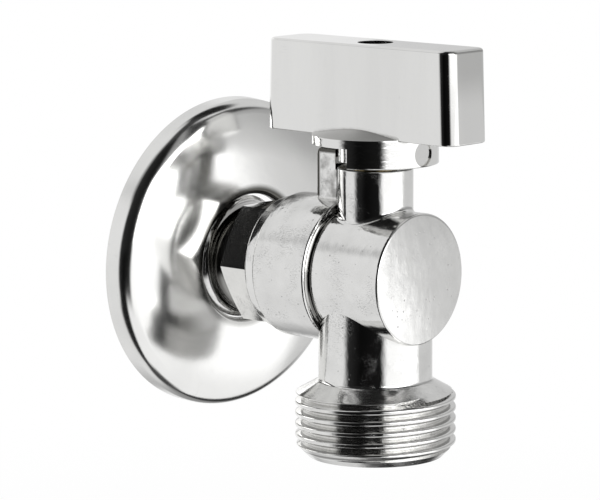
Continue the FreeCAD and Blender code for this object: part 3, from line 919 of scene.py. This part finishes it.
def makeCreaseShadeGroup():
    # painted shade: colour darkened in creases and corners, where the surroundings shut a place in, broken up
    # by noise
    tree, source, sink = newGroup(
        "paintedCreaseShade",
        [
            ("Place", coords, None),
            ("Reach", number, 0.9),
            ("Break Scale", number, 2.5),
        ],
        [("Mask", number)],
    )
    corner = addNode(tree, "ShaderNodeAmbientOcclusion", samples=6, only_local=False)
    feed(tree, corner.inputs["Distance"], times(tree, source.outputs["Reach"], mm))
    openSky, shutIn = 0.75, 0.35  # share of the surroundings that a place sees
    crease = remap(tree, corner.outputs["AO"], openSky, shutIn, 0, 1, smooth=True)
    breaks = noise(tree, source.outputs["Place"], source.outputs["Break Scale"], 3)
    low, high, faintest = 0.35, 0.60, 0.45  # noise levels of the faintest and the full painted shade
    gaps = remap(tree, breaks, low, high, faintest, 1)
    feed(tree, sink.inputs["Mask"], times(tree, crease, gaps))
    return tree


platingTone = makePlatingGroup()
castPits = makePitGroup()
polishLines = makeScratchGroup()
polishWaver = makeWaverGroup()
edgeWear = makeWearGroup()
paintedCreaseShade = makeCreaseShadeGroup()
print("surface groups made")


# Materials

def useGroup(tree, group, **values):
    node = addNode(tree, "ShaderNodeGroup", node_tree=group)
    for label, value in values.items():
        feed(tree, node.inputs[label.replace("_", " ")], value)
    return node


def startMaterial(name):
    material = bpy.data.materials.new(name)
    tree = freshTree(material)
    shader = addNode(tree, "ShaderNodeBsdfPrincipled")
    output = addNode(tree, "ShaderNodeOutputMaterial")
    feed(tree, output.inputs["Surface"], shader.outputs[0])
    place = scaled(tree, addNode(tree, "ShaderNodeTexCoord").outputs["Object"], (1 / mm, 1 / mm, 1 / mm))
    return material, tree, shader, place


def addBump(tree, height, depth, under=None):
    bump = addNode(tree, "ShaderNodeBump")
    feed(tree, bump.inputs["Height"], height)
    bump.inputs["Distance"].default_value = depth * mm
    bump.inputs["Strength"].default_value = 1
    if under is not None:
        feed(tree, bump.inputs["Normal"], under)
    return bump.outputs["Normal"]


# each finish's reach, in millimetres, is how far the painted crease shade looks for surfaces that shut a
# place in
chromeFinish = {
    "bodyChrome": {
        "tone": (0.77, 0.85),
        "rough": (0.05, 0.10),
        "cloud": 0.28,
        "grain": 7.0,
        "grainShare": 0.35,
        "toneStretch": (1.0, 1.0, 1.0),
        "waver": (0.55, 0.55, 0.40),
        "waverDepth": 0.035,
        "wearWidth": 0.7,
        "creaseShadeReach": 1.6,
        "pits": {"scale": 0.9, "size": 0.16, "share": 0.45, "dark": 0.75, "depth": 0.02},
        "lines": {"stretch": (1.2, 7.0, 3.0), "sharp": 0.03, "dark": 0.45, "depth": 0.004},
    },
    "nippleChrome": {
        "tone": (0.80, 0.86),
        "rough": (0.03, 0.07),
        "cloud": 0.3,
        "grain": 5.0,
        "grainShare": 0.3,
        "toneStretch": (1.0, 1.0, 1.0),
        "waver": (0.25, 0.5, 0.5),
        "waverDepth": 0.010,
        "wearWidth": 0.3,
        "creaseShadeReach": 2.0,
        "pits": {"scale": 0.8, "size": 0.12, "share": 0.25, "dark": 0.6, "depth": 0.01},
        "lines": {"stretch": (6.0, 0.5, 0.5), "sharp": 0.03, "dark": 0.2, "depth": 0.002},
    },
    "rosetteChrome": {
        "tone": (0.82, 0.86),
        "rough": (0.14, 0.18),
        "cloud": 0.12,
        "grain": 4.0,
        "grainShare": 0.2,
        "toneStretch": (1.0, 1.0, 1.0),
        "waver": (0.12, 0.12, 0.12),
        "waverDepth": 0.010,
        "wearWidth": 0.3,
        "creaseShadeReach": 3.0,
        "pits": {"scale": 0.5, "size": 0.06, "share": 0.15, "dark": 0.3, "depth": 0.004},
        "lines": {"stretch": (0.3, 4.0, 0.4), "sharp": 0.015, "dark": 0.1, "depth": 0.001},
    },
    "handleChrome": {
        "tone": (0.79, 0.84),
        "rough": (0.05, 0.08),
        "cloud": 0.35,
        "grain": 8.0,
        "grainShare": 0.1,
        "toneStretch": (0.35, 0.35, 0.03),
        "waver": (0.30, 0.30, 0.08),
        "waverDepth": 0.008,
        "wearWidth": 0.3,
        "creaseShadeReach": 0.9,
        "pits": {"scale": 0.35, "size": 0.07, "share": 0.3, "dark": 0.5, "depth": 0.006},
        "lines": {"stretch": (0.4, 5.0, 5.0), "sharp": 0.015, "dark": 0.08, "depth": 0.001},
    },
    "ballChrome": {
        "tone": (0.80, 0.85),
        "rough": (0.02, 0.05),
        "cloud": 0.3,
        "grain": 6.0,
        "grainShare": 0.3,
        "toneStretch": (1.0, 1.0, 1.0),
        "waver": (0.3, 0.3, 0.3),
        "waverDepth": 0.002,
        "wearWidth": 0.2,
        "creaseShadeReach": 0.5,
        "pits": {"scale": 0.8, "size": 0.06, "share": 0.15, "dark": 0.3, "depth": 0.003},
        "lines": {"stretch": (0.5, 6.0, 6.0), "sharp": 0.02, "dark": 0.15, "depth": 0.001},
    },
}

# pits and worn edges are real wear of the plating; the crease share and the near-black colour are painted
# shade
wearAndPaintedShade = {
    "creaseShadeShare": 0.80,
    "spoiledRough": 0.3,
    "wornRough": 0.06,
    "wornShare": 0.35,
    "pitColour": grey(0.10),
    "wornColour": (0.90, 0.88, 0.84, 1),
    "paintedShadeColour": (0.06, 0.058, 0.05, 1),
}


def makeChrome(name, workMarks=None):
    # plated metal; workMarks gives a piece's own roughness and bump, the share of the painted crease shade it
    # keeps and its painted shade by place
    finish = chromeFinish[name]
    material, tree, shader, place = startMaterial(name)
    plating = useGroup(
        tree,
        platingTone,
        Place=scaled(tree, place, finish["toneStretch"]),
        Cloud_Scale=finish["cloud"],
        Grain_Scale=finish["grain"],
        Grain_Share=finish["grainShare"],
        Dark=warm(finish["tone"][0]),
        Light=warm(finish["tone"][1]),
        Rough_Low=finish["rough"][0],
        Rough_High=finish["rough"][1],
    )
    pitted, lined = finish["pits"], finish["lines"]
    pits = useGroup(
        tree, castPits, Place=place, Scale=pitted["scale"], Size=pitted["size"], Share=pitted["share"]
    )
    lines = useGroup(tree, polishLines, Place=place, Stretch=lined["stretch"], Sharp=lined["sharp"])
    waver = useGroup(tree, polishWaver, Place=place, Stretch=finish["waver"])
    wear = useGroup(tree, edgeWear, Place=place, Width=finish["wearWidth"])
    # painted shade in creases, from how shut in each place is
    creaseShadeNode = useGroup(tree, paintedCreaseShade, Place=place, Reach=finish["creaseShadeReach"])
    paintedShadeMix = times(tree, creaseShadeNode.outputs["Mask"], wearAndPaintedShade["creaseShadeShare"])
    pitTone = times(tree, pits.outputs["Mask"], pitted["dark"])
    lineTone = times(tree, lines.outputs["Mask"], lined["dark"])
    spoiled = most(tree, pitTone, lineTone)
    spoiledRough = times(tree, spoiled, wearAndPaintedShade["spoiledRough"])
    wornRough = times(tree, wear.outputs["Mask"], wearAndPaintedShade["wornRough"])
    rough = calc(tree, "ADD", plating.outputs["Roughness"], spoiledRough)
    rough = calc(tree, "ADD", rough, wornRough)
    normal = addBump(tree, waver.outputs["Height"], finish["waverDepth"])
    normal = addBump(tree, pits.outputs["Height"], pitted["depth"], under=normal)
    normal = addBump(tree, lines.outputs["Height"], lined["depth"], under=normal)
    if workMarks:
        marks = workMarks(tree, place)
        rough = calc(tree, "ADD", rough, marks["rough"])
        normal = addBump(tree, marks["height"], marks["depth"], under=normal)
        paintedShadeMix = most(tree, times(tree, paintedShadeMix, marks["crease"]), marks["paintedShade"])
    colour = mixColour(tree, spoiled, plating.outputs["Color"], wearAndPaintedShade["pitColour"])
    worn = times(tree, wear.outputs["Mask"], wearAndPaintedShade["wornShare"])
    colour = mixColour(tree, worn, colour, wearAndPaintedShade["wornColour"])
    # painted shade: the near-black colour darkens the creases and the places marked by each piece
    colour = mixColour(tree, paintedShadeMix, colour, wearAndPaintedShade["paintedShadeColour"])
    feed(tree, shader.inputs["Base Color"], colour)
    feed(tree, shader.inputs["Roughness"], rough)
    shader.inputs["Metallic"].default_value = 1
    feed(tree, shader.inputs["Normal"], normal)
    return material


def apart(tree, place):
    node = addNode(tree, "ShaderNodeSeparateXYZ")
    feed(tree, node.inputs[0], place)
    return node.outputs["X"], node.outputs["Y"], node.outputs["Z"]


def within(tree, value, low, high, soft):
    # 1 between two limits, fading out over a soft margin
    rising = remap(tree, value, low - soft, low, 0, 1, smooth=True)
    falling = remap(tree, value, high, high + soft, 1, 0, smooth=True)
    return times(tree, rising, falling)


def radialDistance(tree, one, other):
    return calc(tree, "SQRT", calc(tree, "ADD", calc(tree, "POWER", one, 2), calc(tree, "POWER", other, 2)))


bodyWork = {
    "front": (46.35, 46.55),  # x over which the satin front sets in
    "frontGrain": (1.0, 9.0, 5.0),
    "frontRough": 0.10,
    "chatterSpan": (-29.0, -20.5),  # z of the deepest and the faintest cutter chatter
    "chatterShare": (0.5, 0.12),
    "chatterTop": (-19.9, -19.5),
    "chatterCount": 110.0,
    "shoulder": (-19.3, -17.6),
    "shoulderSoft": 0.4,
    "lugFront": (30.6, 31.0),  # x between the lug and the neck
    "lugFoot": (9.0, 10.5),
    "lumpScale": 0.9,
    "lumpShare": 4.0,
    "skinRough": 0.04,
    "depth": 0.004,
    "threadTop": (-19.6, -19.2),
    "threadCrease": 0.17,  # share of the painted crease shade that the thread keeps
}

# where the body's chrome is darkened by place: painted shade and painted dark reflections
paintedBodyShade = {
    "step": (31.85, 32.5),  # x of the hollow before the barrel
    "stepSoft": 0.2,
    "stepRadius": (12.1, 12.3),
    "stepShare": 0.85,
    "flank": (0.66, 0.80),  # share of a pitch above a crest
    "flankSoft": 0.05,
    "flankTop": (-19.9, -19.7),
    "flankShare": 0.65,
    "neckTop": (17.35, 17.5),
    "neckShare": 0.9,
    "lugBack": (26.75, 27.05),
    "lugTop": (19.25, 19.6),
    "lugRimShare": 0.95,
    "cloudScale": 0.45,
    "cloudSpan": (0.42, 0.66),
    "cloudShare": 0.60,
    "collarTop": (12.0, 12.3),
}


def bodyPaintedShade(tree, place, turn, onLug):
    # painted shade and painted dark reflections in the step before the barrel, under the thread's crests, on
    # the neck's top and on the lug
    paintedShade = paintedBodyShade
    x, y, z = apart(tree, place)
    onBarrel = remap(tree, radialDistance(tree, y, z), *paintedShade["stepRadius"], paintedShade["stepShare"], 0)
    step = times(tree, within(tree, x, *paintedShade["step"], paintedShade["stepSoft"]), onBarrel)
    climb = calc(tree, "DIVIDE", calc(tree, "SUBTRACT", z, outletSpigot["crest"]), pipeThread["pitch"])
    climb = calc(tree, "FRACT", calc(tree, "SUBTRACT", climb, calc(tree, "DIVIDE", turn, 2 * math.pi)))
    onThread = remap(tree, z, *paintedShade["flankTop"], paintedShade["flankShare"], 0)
    flank = times(tree, within(tree, climb, *paintedShade["flank"], paintedShade["flankSoft"]), onThread)
    beforeLug = remap(tree, x, *bodyWork["lugFront"], 0, 1)
    neckTop = times(tree, remap(tree, z, *paintedShade["neckTop"], 0, paintedShade["neckShare"]), beforeLug)
    lugBack = remap(tree, x, *paintedShade["lugBack"], paintedShade["lugRimShare"], 0)
    lugTop = remap(tree, z, *paintedShade["lugTop"], 0, paintedShade["lugRimShare"])
    cloud = remap(tree, noise(tree, place, paintedShade["cloudScale"], 3), *paintedShade["cloudSpan"], 0, paintedShade["cloudShare"])
    lug = most(tree, lugBack, lugTop, cloud)
    aboveCollar = times(tree, onLug, remap(tree, z, *paintedShade["collarTop"], 0, 1))
    lug = times(tree, lug, aboveCollar)
    return most(tree, step, flank, neckTop, lug)


def bodyMarks(tree, place):
    # satin grain on the domed front, cutter chatter round the hose thread, rough skin on shoulder and lug
    work = bodyWork
    x, y, z = apart(tree, place)
    front = remap(tree, x, *work["front"], 0, 1, smooth=True)
    grain = noise(tree, scaled(tree, place, work["frontGrain"]), 1.0, 3)
    onThread = remap(tree, z, *work["chatterSpan"], *work["chatterShare"])
    onThread = times(tree, onThread, remap(tree, z, *work["chatterTop"], 1, 0, smooth=True))
    turn = calc(tree, "ARCTAN2", y, calc(tree, "SUBTRACT", x, stemAxis.x / mm))
    wrap = addNode(tree, "ShaderNodeCombineXYZ")
    feed(tree, wrap.inputs["X"], times(tree, turn, work["chatterCount"]))
    feed(tree, wrap.inputs["Y"], z)
    chatter = noise(tree, wrap.outputs[0], 1.0, 2)
    behindNeck = remap(tree, x, *work["lugFront"], 1, 0)
    onLug = times(tree, behindNeck, remap(tree, z, *work["lugFoot"], 0, 1))
    skin = most(tree, within(tree, z, *work["shoulder"], work["shoulderSoft"]), onLug)
    lumps = times(tree, noise(tree, place, work["lumpScale"], 3), work["lumpShare"])
    height = times(tree, grain, front)
    height = calc(tree, "ADD", height, times(tree, chatter, onThread))
    height = calc(tree, "ADD", height, times(tree, lumps, skin))
    satin = times(tree, front, work["frontRough"])
    return {
        "rough": calc(tree, "ADD", satin, times(tree, skin, work["skinRough"])),
        "height": height,
        "depth": work["depth"],
        "crease": remap(tree, z, *work["threadTop"], work["threadCrease"], 1),
        "paintedShade": bodyPaintedShade(tree, place, turn, onLug),
    }


handleWork = {
    "hubTop": (22.9, 23.1),
    "streaks": (0.45, 0.45, 1.7),
    "hubRough": 0.02,
    "depth": 0.05,
    "frontEnd": (55.3, 56.6),
    "endSoft": 0.2,
    "endShare": 0.25,
    "besideBar": (5.10, 5.20),
    "coneFoot": (22.98, 23.08),
    "coneShare": 0.55,
}


def handleMarks(tree, place):
    # the hub is polished less evenly than the bar; painted shade darkens the cone and the bar's front end
    work = handleWork
    x, y, z = apart(tree, place)
    hub = remap(tree, z, *work["hubTop"], 1, 0)
    streaks = noise(tree, scaled(tree, place, work["streaks"]), 1.0, 3)
    besideBar = remap(tree, calc(tree, "ABSOLUTE", y), *work["besideBar"], 0, work["coneShare"])
    cone = times(tree, besideBar, remap(tree, z, *work["coneFoot"], 0, 1))
    frontEnd = times(tree, within(tree, x, *work["frontEnd"], work["endSoft"]), work["endShare"])
    return {
        "rough": times(tree, hub, work["hubRough"]),
        "height": times(tree, streaks, hub),
        "depth": work["depth"],
        "crease": 1.0,
        "paintedShade": most(tree, frontEnd, cone),
    }


rosetteWork = {
    "ring": (11.4, 12.6),  # radius over which the painted shade round the hole fades
    "ringShare": 0.95,
    "fade": (-9, 0),  # z over which the painted shade grows to its full share
    "lowShare": 0.5,
    "unevenScale": 0.6,
    "depth": 0.004,
}


def rosetteMarks(tree, place):
    # painted shade round the hole, most of it above the nipple
    work = rosetteWork
    _, y, z = apart(tree, place)
    ring = remap(tree, radialDistance(tree, y, z), *work["ring"], work["ringShare"], 0, smooth=True)
    return {
        "rough": 0.0,
        "height": noise(tree, place, work["unevenScale"]),
        "depth": work["depth"],
        "crease": 1.0,
        "paintedShade": times(tree, ring, remap(tree, z, *work["fade"], work["lowShare"], 1)),
    }


nippleWork = {
    "relief": (8.8, 11.9),  # x of the relief
    "reliefSoft": 0.4,
    "reliefShadeShare": 0.65,
    "unevenScale": 0.8,
    "depth": 0.004,
}


def nippleMarks(tree, place):
    # painted shade on the relief behind the hexagon, which lies in shadow
    work = nippleWork
    x, _, _ = apart(tree, place)
    relief = within(tree, x, *work["relief"], work["reliefSoft"])
    return {
        "rough": 0.0,
        "height": noise(tree, place, work["unevenScale"]),
        "depth": work["depth"],
        "crease": 1.0,
        "paintedShade": times(tree, relief, work["reliefShadeShare"]),
    }


plainCloud = 0.5
plainFinish = {
    "agedBrassInShade": {
        # a dark tone: partly aged brass, partly painted shade for the stem in the gap under the hub
        "tone": ((0.16, 0.13, 0.07), (0.27, 0.22, 0.12)),
        "rough": (0.18, 0.32),
        "metallic": 1,
        "grain": 5.0,
        "depth": 0.004,
    },
    "zincSteel": {
        "tone": ((0.40, 0.40, 0.39), (0.62, 0.62, 0.60)),
        "rough": (0.22, 0.40),
        "metallic": 1,
        "grain": 6.0,
        "depth": 0.004,
    },
    "seatPlastic": {
        "tone": ((0.80, 0.80, 0.77), (0.90, 0.90, 0.87)),
        "rough": (0.35, 0.55),
        "metallic": 0,
        "grain": 4.0,
        "depth": 0.006,
    },
    "sealRubber": {
        "tone": ((0.012, 0.012, 0.012), (0.035, 0.035, 0.034)),
        "rough": (0.45, 0.70),
        "metallic": 0,
        "grain": 5.0,
        "depth": 0.010,
    },
}


def makePlain(name):
    # turned brass, plated steel, moulded plastic and rubber: tone, grain and a fine bump
    finish = plainFinish[name]
    dark, light = finish["tone"]
    material, tree, shader, place = startMaterial(name)
    plating = useGroup(
        tree,
        platingTone,
        Place=place,
        Cloud_Scale=plainCloud,
        Grain_Scale=finish["grain"],
        Dark=(*dark, 1),
        Light=(*light, 1),
        Rough_Low=finish["rough"][0],
        Rough_High=finish["rough"][1],
    )
    feed(tree, shader.inputs["Base Color"], plating.outputs["Color"])
    feed(tree, shader.inputs["Roughness"], plating.outputs["Roughness"])
    shader.inputs["Metallic"].default_value = finish["metallic"]
    bump = addBump(tree, noise(tree, place, finish["grain"]), finish["depth"])
    feed(tree, shader.inputs["Normal"], bump)
    return material


def dress(obj, material):
    obj.data.materials.clear()
    obj.data.materials.append(material)


dress(valveBody, makeChrome("bodyChrome", bodyMarks))
dress(inletNipple, makeChrome("nippleChrome", nippleMarks))
dress(wallRosette, makeChrome("rosetteChrome", rosetteMarks))
dress(leverHandle, makeChrome("handleChrome", handleMarks))
nodeMaterials = {
    "ball": makeChrome("ballChrome"),
    "stem": makePlain("agedBrassInShade"),
    "handle_screw": makePlain("zincSteel"),
}
whitePlastic = makePlain("seatPlastic")
blackRubber = makePlain("sealRubber")
for node in ("rear_seat", "front_seat", "thrust_washer"):
    nodeMaterials[node] = whitePlastic
for node in ("nipple_o_ring", "lower_stem_o_ring", "upper_stem_o_ring"):
    nodeMaterials[node] = blackRubber
for node, material in nodeMaterials.items():
    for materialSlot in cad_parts[node].material_slots:
        materialSlot.material = material
print("materials set")
